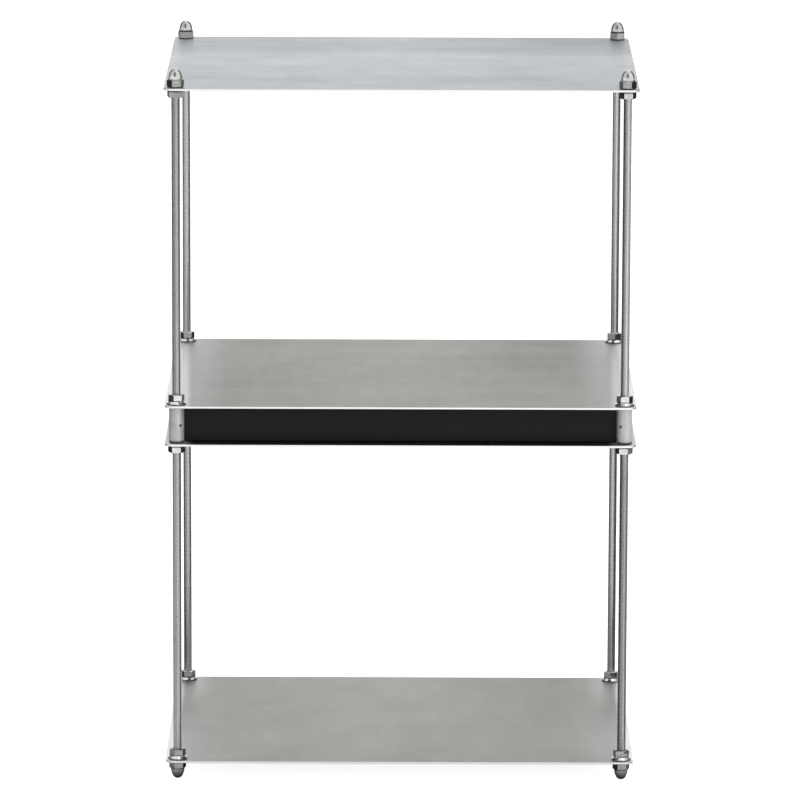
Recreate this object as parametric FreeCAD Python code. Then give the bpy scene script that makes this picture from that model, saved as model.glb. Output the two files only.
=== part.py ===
import FreeCAD, Part
import math
import os

# A free-standing modular shelving unit, in millimetres.
#
# Four aluminium shelves are threaded over four full-length M12 rods. Nuts hold each shelf from
# above and from below. The two shelves in the middle are kept apart by a spacer tube on each rod,
# and a shallow black drawer slides between them. Domed cap nuts close the rods at the top and are
# the feet at the bottom.
#
# X runs along the width, -Y is the front and +Z is up. The origin lies on the floor, under the
# centre of the shelves. Every piece is one solid, or one group of like solids, in its own file.

vector = FreeCAD.Vector
up = vector(0, 0, 1)
along_x = vector(1, 0, 0)
along_y = vector(0, 1, 0)

# Shelves
shelf_width = 600.0
shelf_depth = 450.0
shelf_thickness = 3.0
shelf_corner_radius = 10.0
shelf_edge_break = 0.4
shelf_hole_clearance = 0.5

# Heights between the shelves, measured clear
lower_bay_height = 412.0
upper_bay_height = 404.5
drawer_bay_height = 46.5

# Rods, one near each corner
rod_diameter = 12.0
rod_inset = 15.0
rod_end_chamfer = 1.4
rod_end_gap = 0.5
thread_clearance = 0.05

# Spacer tubes between the two middle shelves, each locked by a grub screw
tube_wall = 3.0
tube_bore_clearance = 0.5
tube_edge_break = 0.4
grub_diameter = 4.0
grub_recess = 0.5
grub_tip_gap = 0.1
grub_clearance = 0.05
grub_socket_flats = 2.0
grub_socket_depth = 1.4
grub_turn_degrees = 35.0

# Plain hex nuts
hex_nut_flats = 19.0
hex_nut_height = 10.0

# Cap nuts on top of the rods
cap_flats = 19.0
cap_hex_height = 10.0
cap_dome_diameter = 18.0
cap_dome_height = 13.5
cap_tip_radius_share = 0.84
cap_bore_depth = 16.0
cap_tip_flat_diameter = 3.0

# Cap nuts that are the feet
foot_flats = 19.0
foot_hex_height = 9.5
foot_dome_diameter = 17.6
foot_dome_height = 13.5
foot_tip_radius_share = 0.8
foot_bore_depth = 16.0
foot_tip_flat_diameter = 4.0

# Flange nuts on top of the middle shelf and of the bottom shelf
flange_nut_flats = 18.0
flange_nut_height = 13.0
flange_diameter = 25.0
flange_rim_height = 1.6
flange_cone_height = 5.0

# Shares that shape all the nuts
end_face_share = 0.95
corner_clear_share = 1.02
nut_chamfer_degrees = 30.0
half_turn_degrees = 180.0
full_turn_degrees = 360.0
hex_sides = 6

# How far each nut is turned from facing the front, as fitted by hand on each rod
cap_turn_degrees = {"front_left": 10.0, "front_right": -6.0, "back_left": -20.0, "back_right": 27.0}
hex_turn_degrees = {"front_left": -18.0, "front_right": 4.0, "back_left": -12.0, "back_right": 15.0}
middle_turn_degrees = {"front_left": 13.0, "front_right": 0.0, "back_left": 9.0, "back_right": -27.0}
deck_turn_degrees = {"front_left": 1.0, "front_right": -8.0, "back_left": 14.0, "back_right": -11.0}
bottom_turn_degrees = {"front_left": 10.0, "front_right": -15.0, "back_left": 3.0, "back_right": 19.0}
foot_turn_degrees = {"front_left": 10.0, "front_right": 5.0, "back_left": -6.0, "back_right": 9.0}

# Drawer
front_setback = 20.0
front_thickness = 12.0
front_side_gap = 1.0
front_height_gap = 0.8
front_edge_radius = 0.8
side_thickness = 9.0
back_thickness = 9.0
back_gap = 12.0
bottom_thickness = 3.0
groove_depth = 4.5
groove_clearance = 0.1
groove_height = 4.0
drawer_travel = 290.0
stop_band_height = 13.3
board_edge_break = 0.5

# Dowels join the front to the sides, and screws join the back to them
dowel_diameter = 5.0
dowel_length = 22.0
dowel_depth_in_front = 8.0
dowel_clearance = 0.05
dowel_end_gap = 0.3
dowel_edge_break = 0.6
joint_height_shares = (0.42, 0.78)
wood_screw_diameter = 3.2
wood_screw_length = 30.0
wood_screw_head_diameter = 6.2
wood_screw_head_height = 1.8
wood_screw_clearance = 0.05
wood_screw_recess = 0.3
wood_screw_tip_diameter = 0.8
wood_screw_tip_length = 3.0
screw_slot_width = 0.9
screw_slot_depth = 0.8

# Stop blocks on the drawer's sides
block_length = 18.0
block_head_gap = 1.0
block_edge_break = 0.8
block_screw_length = 22.0
block_screw_place_share = 0.3

# Guide rails and glide strips on the lower of the two middle shelves
rail_side_gap = 0.6
rail_tube_gap = 0.9
rail_sheet = 2.0
rail_foot_width = 18.0
rail_height = 40.0
rail_closing_gap = 0.2
rail_end_gap = 8.0
glide_width = 11.0
glide_thickness = 1.0
glide_gap = 0.2
glide_side_gap = 0.2

# Stop pins through the guide rails
pin_diameter = 5.0
pin_reach = 7.0
pin_head_diameter = 8.0
pin_head_height = 1.6
pin_lift = 1.0
pin_clearance = 0.05
pin_stop_gap = 0.5

# Screws and nuts that hold the guide rails
rail_screw_diameter = 4.0
rail_screw_head_diameter = 7.6
rail_screw_head_height = 2.2
rail_screw_tail = 1.0
rail_screw_socket_flats = 2.5
rail_screw_socket_depth = 1.2
rail_hole_clearance = 0.2
rail_nut_flats = 7.0
rail_nut_height = 3.2
rail_screw_place_shares = (0.08, 0.5, 0.92)

# Every cut runs past the piece by this much
overrun = 2.0

# Places that follow from the sizes above
rod_x = shelf_width / 2 - rod_inset
rod_y = shelf_depth / 2 - rod_inset
tube_radius = rod_diameter / 2 + tube_bore_clearance + tube_wall

bottom_shelf_z = foot_hex_height + foot_dome_height
deck_z = bottom_shelf_z + shelf_thickness + lower_bay_height
deck_top_z = deck_z + shelf_thickness
middle_shelf_z = deck_top_z + drawer_bay_height
middle_top_z = middle_shelf_z + shelf_thickness
top_shelf_z = middle_top_z + upper_bay_height
top_face_z = top_shelf_z + shelf_thickness
rod_low_z = bottom_shelf_z - foot_bore_depth + rod_end_gap
rod_high_z = top_face_z + cap_bore_depth - rod_end_gap

front_half_width = rod_x - tube_radius - front_side_gap
front_face_y = -shelf_depth / 2 + front_setback
front_inner_y = front_face_y + front_thickness
front_low_z = deck_top_z + front_height_gap
front_height = drawer_bay_height - front_height_gap - front_height_gap
rail_outer_x = rod_x - tube_radius - rail_tube_gap
rail_inner_x = rail_outer_x - rail_sheet
side_outer_x = rail_inner_x - rail_side_gap
side_inner_x = side_outer_x - side_thickness
side_low_z = deck_top_z + glide_thickness + glide_gap
side_height = drawer_bay_height - glide_thickness - glide_gap - stop_band_height
side_high_z = side_low_z + side_height
side_end_y = rod_y - back_gap
back_face_y = side_end_y - back_thickness
block_front_y = side_end_y - block_length
block_height = middle_shelf_z - block_head_gap - side_high_z
pin_y = block_front_y - drawer_travel - pin_stop_gap - pin_diameter / 2
pin_z = side_high_z + pin_lift + pin_diameter / 2
rail_front_y = front_inner_y + rail_closing_gap
rail_back_y = rod_y - tube_radius - rail_end_gap
rail_foot_front_y = -rail_back_y

corners = {
    "front_left": (-rod_x, -rod_y),
    "front_right": (rod_x, -rod_y),
    "back_left": (-rod_x, rod_y),
    "back_right": (rod_x, rod_y),
}
sides = {"left": -1, "right": 1}


def box(x_low, x_high, y_low, y_high, z_low, z_high):
    """A block between two corners, whichever order each pair comes in."""
    x_least = min(x_low, x_high)
    return Part.makeBox(abs(x_high - x_low), y_high - y_low, z_high - z_low, vector(x_least, y_low, z_low))


def turned(profile):
    """The solid that a closed profile of (radius, height) points sweeps round the Z axis."""
    points = [vector(radius, 0, height) for radius, height in profile]
    outline = Part.makePolygon(points + points[:1])
    return Part.Face(outline).revolve(vector(0, 0, 0), up, full_turn_degrees)


def broken_rod(radius, length, edge_break):
    """A round bar from z = 0 with both end edges broken."""
    return turned([
        (0, 0),
        (radius - edge_break, 0),
        (radius, edge_break),
        (radius, length - edge_break),
        (radius - edge_break, length),
        (0, length),
    ])


def hexagon_bar(flats, height):
    """A hexagonal bar from z = 0 with one flat facing the front."""
    corner_radius = flats / 2 / math.cos(math.pi / hex_sides)
    points = []
    for side in range(hex_sides + 1):
        angle = 2 * math.pi * side / hex_sides
        points.append(vector(corner_radius * math.cos(angle), corner_radius * math.sin(angle), 0))
    return Part.Face(Part.makePolygon(points)).extrude(up * height)


def chamfered_hexagon(flats, height, low_end=True, high_end=True):
    """A hexagonal bar whose corners are turned off at one or both ends, as on a nut."""
    end_radius = flats / 2 * end_face_share
    wide_radius = flats / 2 / math.cos(math.pi / hex_sides) * corner_clear_share
    drop = (wide_radius - end_radius) * math.tan(math.radians(nut_chamfer_degrees))
    profile = [(0, 0)]
    if low_end:
        profile += [(end_radius, 0), (wide_radius, drop)]
    else:
        profile += [(wide_radius, 0)]
    if high_end:
        profile += [(wide_radius, height - drop), (end_radius, height)]
    else:
        profile += [(wide_radius, height)]
    profile += [(0, height)]
    return hexagon_bar(flats, height).common(turned(profile))


def moved(shape, x, y, z):
    """A copy of a shape, moved."""
    copy = shape.copy()
    copy.translate(vector(x, y, z))
    return copy


def spun(shape, degrees):
    """A copy of a shape, turned about the Z axis."""
    copy = shape.copy()
    copy.rotate(vector(0, 0, 0), up, degrees)
    return copy


def save(name, *shapes):
    """Write one piece, or one group of like pieces, to its file."""
    shape = shapes[0] if len(shapes) == 1 else Part.makeCompound(list(shapes))
    shape.exportStep("parts/" + name + ".step")


def bored(shape, bore_depth):
    """A nut's shape with its threaded bore, left as a plain hole at the rod's size, from z = 0 up."""
    radius = rod_diameter / 2 + thread_clearance
    cutter = Part.makeCylinder(radius, bore_depth + overrun, vector(0, 0, -overrun))
    return shape.cut(cutter)


def shelf(z):
    """A thin plate with rounded corners and a hole for each rod."""
    half_width = shelf_width / 2
    half_depth = shelf_depth / 2
    plate = box(-half_width, half_width, -half_depth, half_depth, z, z + shelf_thickness)
    uprights = [edge for edge in plate.Edges if edge.tangentAt(edge.FirstParameter).cross(up).Length == 0]
    plate = plate.makeFillet(shelf_corner_radius, uprights)
    rims = []
    for edge in plate.Edges:
        ends = edge.BoundBox
        if ends.ZLength < shelf_edge_break:
            rims.append(edge)
    plate = plate.makeChamfer(shelf_edge_break, rims)
    hole_radius = rod_diameter / 2 + shelf_hole_clearance
    for x, y in corners.values():
        hole = Part.makeCylinder(hole_radius, shelf_thickness + overrun * 2, vector(x, y, z - overrun))
        plate = plate.cut(hole)
    return plate


def threaded_rod():
    """One of the full-length rods, at the size of its thread's crests, with turned-off ends."""
    rod = broken_rod(rod_diameter / 2, rod_high_z - rod_low_z, rod_end_chamfer)
    return moved(rod, 0, 0, rod_low_z)


def hex_nut():
    """A plain nut, from z = 0 up."""
    return bored(chamfered_hexagon(hex_nut_flats, hex_nut_height), hex_nut_height + overrun)


def flange_nut():
    """A nut with a sloping round flange at its foot, from z = 0 up."""
    flange = turned([
        (0, 0),
        (flange_diameter / 2, 0),
        (flange_diameter / 2, flange_rim_height),
        (flange_nut_flats / 2 * end_face_share, flange_cone_height),
        (0, flange_cone_height),
    ])
    body = chamfered_hexagon(flange_nut_flats, flange_nut_height, low_end=False)
    return bored(flange.fuse(body).removeSplitter(), flange_nut_height + overrun)


def dome(diameter, height, tip_diameter, tip_radius_share):
    """The closed end of a cap nut, from z = 0 up: an oval of two arcs that meet smoothly.

    The flank leaves the base upright, and the tip is a smaller ball, cut off flat.
    """
    base = diameter / 2
    tip_half = tip_diameter / 2
    ball = base * tip_radius_share
    ball_z = height - math.sqrt(ball ** 2 - tip_half ** 2)
    flank = (base ** 2 + ball_z ** 2 - ball ** 2) / 2 / (base - ball)
    lean = math.atan2(ball_z, flank - base)
    tip_lean = math.atan2(height - ball_z, tip_half)
    rim = vector(base, 0, 0)
    flank_centre = vector(base - flank, 0, 0)
    ball_centre = vector(0, 0, ball_z)
    flank_middle = flank_centre + vector(math.cos(lean / 2), 0, math.sin(lean / 2)) * flank
    meeting = flank_centre + vector(math.cos(lean), 0, math.sin(lean)) * flank
    ball_lean = (lean + tip_lean) / 2
    ball_middle = ball_centre + vector(math.cos(ball_lean), 0, math.sin(ball_lean)) * ball
    tip_rim = vector(tip_half, 0, height)
    tip = vector(0, 0, height)
    foot = vector(0, 0, 0)
    outline = Part.Wire([
        Part.makeLine(foot, rim),
        Part.Arc(rim, flank_middle, meeting).toShape(),
        Part.Arc(meeting, ball_middle, tip_rim).toShape(),
        Part.makeLine(tip_rim, tip),
        Part.makeLine(tip, foot),
    ])
    return Part.Face(outline).revolve(foot, up, full_turn_degrees)


def cap_nut():
    """The cap nut that closes a rod at the top, open end at z = 0 and dome above."""
    closed_end = dome(cap_dome_diameter, cap_dome_height, cap_tip_flat_diameter, cap_tip_radius_share)
    body = chamfered_hexagon(cap_flats, cap_hex_height)
    nut = body.fuse(moved(closed_end, 0, 0, cap_hex_height)).removeSplitter()
    return bored(nut, cap_bore_depth)


def foot_nut():
    """The cap nut that is a foot, open end at z = 0 and dome below."""
    closed_end = dome(foot_dome_diameter, foot_dome_height, foot_tip_flat_diameter, foot_tip_radius_share)
    body = chamfered_hexagon(foot_flats, foot_hex_height)
    nut = bored(body.fuse(moved(closed_end, 0, 0, foot_hex_height)).removeSplitter(), foot_bore_depth)
    nut.rotate(vector(0, 0, 0), along_x, half_turn_degrees)
    return nut


def grub_place(x, y):
    """How far a tube's screw is turned about its rod: inwards, and away from the middle in depth."""
    towards_middle = 1 if x < 0 else -1
    if y < 0:
        return towards_middle * grub_turn_degrees
    return half_turn_degrees - towards_middle * grub_turn_degrees


def spacer_tube():
    """A plain tube between the middle shelves, with the screw's hole in its front."""
    bore_radius = tube_radius - tube_wall
    tube = broken_rod(tube_radius, drawer_bay_height, tube_edge_break)
    bore = Part.makeCylinder(bore_radius, drawer_bay_height + overrun * 2, vector(0, 0, -overrun))
    hole = Part.makeCylinder(
        grub_diameter / 2 + grub_clearance, tube_radius + overrun,
        vector(0, 0, drawer_bay_height / 2), along_y * -1,
    )
    return tube.cut(bore).cut(hole)


def grub_screw():
    """The headless screw in a tube's front, with its hexagon socket, that bears on the rod."""
    outer = tube_radius - grub_recess
    length = outer - rod_diameter / 2 - grub_tip_gap
    socket = hexagon_bar(grub_socket_flats, grub_socket_depth + overrun)
    body = Part.makeCylinder(grub_diameter / 2, length).cut(moved(socket, 0, 0, length - grub_socket_depth))
    body.rotate(vector(0, 0, 0), along_x, half_turn_degrees / 2)
    return moved(body, 0, length - outer, drawer_bay_height / 2)


def edges_broken(board, size):
    """A board with all its edges broken."""
    return board.makeChamfer(size, board.Edges)


def joint_heights():
    """The heights of the dowels at the front and of the screws at the back."""
    return [side_low_z + side_height * share for share in joint_height_shares]


def groove(x_low, x_high, y_low, y_high):
    """The slot that holds the drawer's bottom, for a stretch of board."""
    low = side_low_z + groove_height - groove_clearance
    return box(x_low, x_high, y_low, y_high, low, low + bottom_thickness + groove_clearance * 2)


def dowel(x, z):
    """A wooden dowel that lies along Y, half in the front and half in a side."""
    start = front_inner_y - dowel_depth_in_front + dowel_end_gap
    length = dowel_length - dowel_end_gap * 2
    pin = broken_rod(dowel_diameter / 2, length, dowel_edge_break)
    pin.rotate(vector(0, 0, 0), along_x, -half_turn_degrees / 2)
    return moved(pin, x, start, z)


def dowel_hole(x, z):
    """The drilling for one dowel, through the joint's face."""
    radius = dowel_diameter / 2 + dowel_clearance
    start = front_inner_y - dowel_depth_in_front
    return Part.makeCylinder(radius, dowel_length, vector(x, start, z), along_y)


def side_middle_x(way):
    """The middle of a drawer side's thickness."""
    return way * (side_inner_x + side_outer_x) / 2


def drawer_front():
    """The black board that fills the bay between the front tubes."""
    board = box(
        -front_half_width, front_half_width, front_face_y, front_inner_y,
        front_low_z, front_low_z + front_height,
    )
    board = board.makeFillet(front_edge_radius, board.Edges)
    reach = side_inner_x + groove_depth
    board = board.cut(groove(-reach, reach, front_inner_y - groove_depth, front_inner_y + overrun))
    for way in sides.values():
        for z in joint_heights():
            board = board.cut(dowel_hole(side_middle_x(way), z))
    return board


def drawer_side(way):
    """A side of the drawer, grooved for the bottom and drilled at both ends."""
    board = box(
        way * side_inner_x, way * side_outer_x, front_inner_y, side_end_y,
        side_low_z, side_high_z,
    )
    board = edges_broken(board, board_edge_break)
    inner = way * (side_inner_x - overrun)
    floor = way * (side_inner_x + groove_depth)
    board = board.cut(groove(inner, floor, front_inner_y - overrun, side_end_y + overrun))
    for z in joint_heights():
        board = board.cut(dowel_hole(side_middle_x(way), z))
        board = board.cut(wood_screw_hole(way, z))
    screw = block_screw_hole(way)
    return board.cut(screw)


def drawer_back():
    """The back board between the sides."""
    board = box(-side_inner_x, side_inner_x, back_face_y, side_end_y, side_low_z, side_high_z)
    board = edges_broken(board, board_edge_break)
    reach = side_inner_x + overrun
    board = board.cut(groove(-reach, reach, back_face_y - overrun, back_face_y + groove_depth))
    for way in sides.values():
        for z in joint_heights():
            board = board.cut(wood_screw_hole(way, z))
    return board


def drawer_bottom():
    """The thin bottom board in its grooves."""
    half_width = side_inner_x + groove_depth - groove_clearance
    front = front_inner_y - groove_depth + groove_clearance
    back = back_face_y + groove_depth - groove_clearance
    low = side_low_z + groove_height
    return box(-half_width, half_width, front, back, low, low + bottom_thickness)


def wood_screw(length):
    """A countersunk screw that points down from z = 0, with a slot in its head."""
    radius = wood_screw_diameter / 2
    screw = turned([
        (0, 0),
        (wood_screw_head_diameter / 2, 0),
        (radius, -wood_screw_head_height),
        (radius, wood_screw_tip_length - length),
        (wood_screw_tip_diameter / 2, -length),
        (0, -length),
    ])
    reach = wood_screw_head_diameter
    slot = box(-reach, reach, -screw_slot_width / 2, screw_slot_width / 2, -screw_slot_depth, overrun)
    return screw.cut(slot)


def wood_screw_cutter(length):
    """The hole for a countersunk screw, open above z = 0."""
    radius = wood_screw_diameter / 2 + wood_screw_clearance
    head = wood_screw_head_diameter / 2 + wood_screw_clearance
    return turned([
        (0, overrun),
        (head, overrun),
        (head, -wood_screw_clearance),
        (radius, -wood_screw_head_height - wood_screw_clearance),
        (radius, -length - wood_screw_clearance),
        (0, -length - wood_screw_clearance),
    ])


def at_back_joint(shape, way, z):
    """A screw or its hole, laid down so that it enters a side and the end of the back."""
    copy = shape.copy()
    copy.rotate(vector(0, 0, 0), along_y, way * half_turn_degrees / 2)
    copy.translate(vector(way * (side_outer_x - wood_screw_recess), (back_face_y + side_end_y) / 2, z))
    return copy


def wood_screw_hole(way, z):
    """The drilling for one of the back's screws."""
    return at_back_joint(wood_screw_cutter(wood_screw_length), way, z)


def block_place(shape, way):
    """A screw or its hole, upright in a stop block and clear of the back's screws."""
    y = block_front_y + block_length * block_screw_place_share
    return moved(shape, side_middle_x(way), y, side_high_z + block_height - wood_screw_recess)


def block_screw_hole(way):
    """The drilling for a stop block's screw."""
    return block_place(wood_screw_cutter(block_screw_length), way)


def stop_block(way):
    """The block on a side's back end that meets the stop pin."""
    block = box(
        way * side_inner_x, way * side_outer_x, block_front_y, side_end_y,
        side_high_z, side_high_z + block_height,
    )
    return edges_broken(block, block_edge_break).cut(block_screw_hole(way))


def rail_places():
    """Where the guide rail's screws stand along the depth."""
    run = rail_back_y - rail_foot_front_y
    return [rail_foot_front_y + run * share for share in rail_screw_place_shares]


def rail_screw_x(way):
    """The line of the guide rail's screws, in the middle of its foot's free width."""
    return way * (rail_outer_x + rail_inner_x + rail_foot_width) / 2


def guide_rail(way):
    """An angle of folded sheet: an upright beside the drawer, and a foot turned away from it."""
    upright = box(
        way * rail_inner_x, way * rail_outer_x, rail_front_y, rail_back_y,
        deck_top_z, deck_top_z + rail_height,
    )
    foot_edge = way * (rail_inner_x + rail_foot_width)
    foot = box(
        way * rail_inner_x, foot_edge, rail_foot_front_y, rail_back_y,
        deck_top_z, deck_top_z + rail_sheet,
    )
    rail = upright.fuse(foot).removeSplitter()
    radius = rail_screw_diameter / 2 + rail_hole_clearance
    for y in rail_places():
        hole = Part.makeCylinder(
            radius, rail_sheet + overrun * 2, vector(rail_screw_x(way), y, deck_top_z - overrun),
        )
        rail = rail.cut(hole)
    start = vector(way * (rail_inner_x - overrun), pin_y, pin_z)
    hole = Part.makeCylinder(
        pin_diameter / 2 + pin_clearance, rail_sheet + overrun * 2, start, along_x * way,
    )
    return rail.cut(hole)


def stop_pin(way):
    """A headed pin, fixed in the guide rail's upright, that reaches over the drawer's side."""
    pin = turned([
        (0, 0),
        (pin_head_diameter / 2, 0),
        (pin_head_diameter / 2, -pin_head_height),
        (pin_diameter / 2, -pin_head_height),
        (pin_diameter / 2, -pin_head_height - rail_sheet - pin_reach),
        (0, -pin_head_height - rail_sheet - pin_reach),
    ])
    pin.rotate(vector(0, 0, 0), along_y, way * half_turn_degrees / 2)
    pin.translate(vector(way * (rail_outer_x + pin_head_height), pin_y, pin_z))
    return pin


def rail_screw():
    """A button-headed screw, head down at z = 0, that comes up through the shelf and the rail."""
    length = shelf_thickness + rail_sheet + rail_nut_height + rail_screw_tail
    shank = Part.makeCylinder(rail_screw_diameter / 2, length)
    head_radius = rail_screw_head_diameter / 2
    edge = vector(head_radius, 0, 0)
    middle = math.pi / 4
    swell = vector(head_radius * math.cos(middle), 0, -rail_screw_head_height * math.sin(middle))
    crown = vector(0, 0, -rail_screw_head_height)
    outline = Part.Wire([
        Part.makeLine(vector(0, 0, 0), edge),
        Part.Arc(edge, swell, crown).toShape(),
        Part.makeLine(crown, vector(0, 0, 0)),
    ])
    head = Part.Face(outline).revolve(vector(0, 0, 0), up, full_turn_degrees)
    socket = hexagon_bar(rail_screw_socket_flats, rail_screw_socket_depth + overrun)
    low = rail_screw_socket_depth - rail_screw_head_height - (rail_screw_socket_depth + overrun)
    return head.fuse(shank).removeSplitter().cut(moved(socket, 0, 0, low))


def rail_nut():
    """The small nut on a guide rail's screw, from z = 0 up."""
    radius = rail_screw_diameter / 2 + thread_clearance
    bore = Part.makeCylinder(radius, rail_nut_height + overrun * 2, vector(0, 0, -overrun))
    return chamfered_hexagon(rail_nut_flats, rail_nut_height).cut(bore)


def glide_strip(way):
    """A slippery strip on the lower middle shelf, under one side of the drawer."""
    outer = rail_inner_x - glide_side_gap
    return box(
        way * (outer - glide_width), way * outer, rail_foot_front_y, rail_back_y,
        deck_top_z, deck_top_z + glide_thickness,
    )


def drawer_deck():
    """The lower of the two middle shelves, which also takes the guide rails' screws."""
    plate = shelf(deck_z)
    radius = rail_screw_diameter / 2 + rail_hole_clearance
    for way in sides.values():
        for y in rail_places():
            hole = Part.makeCylinder(
                radius, shelf_thickness + overrun * 2, vector(rail_screw_x(way), y, deck_z - overrun),
            )
            plate = plate.cut(hole)
    return plate


os.makedirs("parts", exist_ok=True)

# The four shelves
save("bottom_shelf", shelf(bottom_shelf_z))
save("drawer_deck", drawer_deck())
save("middle_shelf", shelf(middle_shelf_z))
save("top_shelf", shelf(top_shelf_z))

# What each corner carries, from the floor up
for corner, (x, y) in corners.items():
    foot = spun(foot_nut(), foot_turn_degrees[corner])
    lower_flange = spun(flange_nut(), bottom_turn_degrees[corner])
    deck_nut = spun(hex_nut(), deck_turn_degrees[corner])
    upper_flange = spun(flange_nut(), middle_turn_degrees[corner])
    top_nut = spun(hex_nut(), hex_turn_degrees[corner])
    cap = spun(cap_nut(), cap_turn_degrees[corner])
    tube = spun(spacer_tube(), grub_place(x, y))
    grub = spun(grub_screw(), grub_place(x, y))
    save("threaded_rod_" + corner, moved(threaded_rod(), x, y, 0))
    save("foot_nut_" + corner, moved(foot, x, y, bottom_shelf_z))
    save("bottom_flange_nut_" + corner, moved(lower_flange, x, y, bottom_shelf_z + shelf_thickness))
    save("deck_hex_nut_" + corner, moved(deck_nut, x, y, deck_z - hex_nut_height))
    save("spacer_tube_" + corner, moved(tube, x, y, deck_top_z))
    save("tube_grub_screw_" + corner, moved(grub, x, y, deck_top_z))
    save("middle_flange_nut_" + corner, moved(upper_flange, x, y, middle_top_z))
    save("top_hex_nut_" + corner, moved(top_nut, x, y, top_shelf_z - hex_nut_height))
    save("cap_nut_" + corner, moved(cap, x, y, top_face_z))

# The drawer
save("drawer_front", drawer_front())
save("drawer_back", drawer_back())
save("drawer_bottom", drawer_bottom())
dowels = []
back_screws = []
for side, way in sides.items():
    save("drawer_side_" + side, drawer_side(way))
    save("stop_block_" + side, stop_block(way))
    for z in joint_heights():
        dowels.append(dowel(side_middle_x(way), z))
        back_screws.append(at_back_joint(wood_screw(wood_screw_length), way, z))
save("drawer_dowels", *dowels)
save("drawer_back_screws", *back_screws)
save("stop_block_screws", *[block_place(wood_screw(block_screw_length), way) for way in sides.values()])

# What guides and stops the drawer
rail_screws = []
rail_nuts = []
for side, way in sides.items():
    save("guide_rail_" + side, guide_rail(way))
    save("glide_strip_" + side, glide_strip(way))
    save("stop_pin_" + side, stop_pin(way))
    for y in rail_places():
        rail_screws.append(moved(rail_screw(), rail_screw_x(way), y, deck_z))
        rail_nuts.append(moved(rail_nut(), rail_screw_x(way), y, deck_top_z + rail_sheet))
save("guide_rail_screws", *rail_screws)
save("guide_rail_nuts", *rail_nuts)
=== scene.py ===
# %% [markdown]
# # A modular shelving unit
# The unit is four thin aluminium plates on four threaded steel rods. Nuts clamp every plate
# from above and from below, domed nuts close the rods at the top and stand on the floor, and a
# shallow black drawer slides between the two middle plates. The solids come packed from CAD,
# with their true sizes. This lesson gives them their looks: the cut thread of the rods, the
# metals and the lacquer, and a studio to see them in.

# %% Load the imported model
import bpy
import math
from mathutils import Matrix, Vector


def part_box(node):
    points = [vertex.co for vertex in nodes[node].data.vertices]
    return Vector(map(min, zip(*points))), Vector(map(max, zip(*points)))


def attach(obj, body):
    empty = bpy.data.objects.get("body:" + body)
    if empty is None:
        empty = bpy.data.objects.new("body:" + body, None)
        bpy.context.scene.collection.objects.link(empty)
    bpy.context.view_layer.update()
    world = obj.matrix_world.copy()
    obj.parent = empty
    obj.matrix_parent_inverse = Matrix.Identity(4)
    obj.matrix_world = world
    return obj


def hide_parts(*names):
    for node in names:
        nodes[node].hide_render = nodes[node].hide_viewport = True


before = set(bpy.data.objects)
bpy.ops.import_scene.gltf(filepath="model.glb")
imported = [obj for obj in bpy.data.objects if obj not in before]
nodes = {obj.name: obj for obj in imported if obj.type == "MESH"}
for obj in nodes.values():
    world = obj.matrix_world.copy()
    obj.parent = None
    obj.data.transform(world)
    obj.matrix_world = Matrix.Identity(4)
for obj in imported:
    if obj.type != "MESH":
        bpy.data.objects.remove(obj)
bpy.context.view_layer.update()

# %% [markdown]
# ## The camera
# A product picture of furniture is taken from far away through a long lens, so that upright rods
# stay upright. A camera that stands 8.5 m off and looks down by less than 12 degrees shows the
# plates as narrow bands. The lens is written as a focal length in pixels of an 800 pixel frame,
# because that is how it can be read from a picture, and is turned into millimetres here.

# %% Camera
frame_pixels = 800.0
sensor_width = 36.0
focal_pixels = 6623.0
camera_sight = 200.0
camera_place = Vector((-0.0055, -8.459, 2.1845))
camera_down = math.radians(11.564)
camera_turn = math.radians(-0.033)
camera_roll = math.radians(0.197)

camera_data = bpy.data.cameras.new("studio_camera")
camera_data.sensor_width = sensor_width
camera_data.lens = focal_pixels / frame_pixels * sensor_width
camera_data.clip_end = camera_sight
camera = bpy.data.objects.new("studio_camera", camera_data)
camera.matrix_world = (
    Matrix.Translation(camera_place)
    @ Matrix.Rotation(camera_turn, 4, "Z")
    @ Matrix.Rotation(math.radians(90.0) - camera_down, 4, "X")
    @ Matrix.Rotation(camera_roll, 4, "Z")
)
bpy.context.scene.collection.objects.link(camera)
bpy.context.scene.camera = camera
print("camera lens", round(camera_data.lens, 1), "mm")

# %% [markdown]
# ## A short way to write node trees
# Materials, the world and the thread are all node trees. One helper adds a node, sets its options
# and fills its inputs: an input that is given a socket is linked, and one that is given a plain
# value keeps that value. Inputs are named, or numbered where a node has several of one name.


# %% Helpers for node trees
def fill(tree, socket, value):
    """Links a socket to the input, or gives the input a plain value."""
    if isinstance(value, bpy.types.NodeSocket):
        tree.links.new(value, socket)
    else:
        socket.default_value = value


def add_node(tree, kind, options=None, inputs=None):
    node = tree.nodes.new(kind)
    node.location = (220.0 * (len(tree.nodes) - 1), 0.0)
    for name, value in (options or {}).items():
        setattr(node, name, value)
    for key, value in (inputs or {}).items():
        fill(tree, node.inputs[key], value)
    return node


print("node helper ready")

# %% [markdown]
# Most looks are masks: shares from 0 to 1 that say where on a piece a finish lies. They could be
# painted, but here they are worked out from coordinates, so that they stay sharp at any size. A
# mask then mixes two colours.


# %% Helpers for masks and colours
def calculate(tree, operation, first, second=0.0, third=0.5):
    inputs = {0: first, 1: second, 2: third}
    return add_node(tree, "ShaderNodeMath", {"operation": operation}, inputs).outputs[0]


def multiply(tree, *values):
    product = values[0]
    for value in values[1:]:
        product = calculate(tree, "MULTIPLY", product, value)
    return product


def opposite(tree, share):
    """A share turned round: 1 where it was 0, and 0 where it was 1."""
    return calculate(tree, "SUBTRACT", 1.0, share)


def gap_to(tree, value, centre):
    """How far a value is from a centre, on either side."""
    return calculate(tree, "ABSOLUTE", calculate(tree, "SUBTRACT", value, centre))


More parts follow.
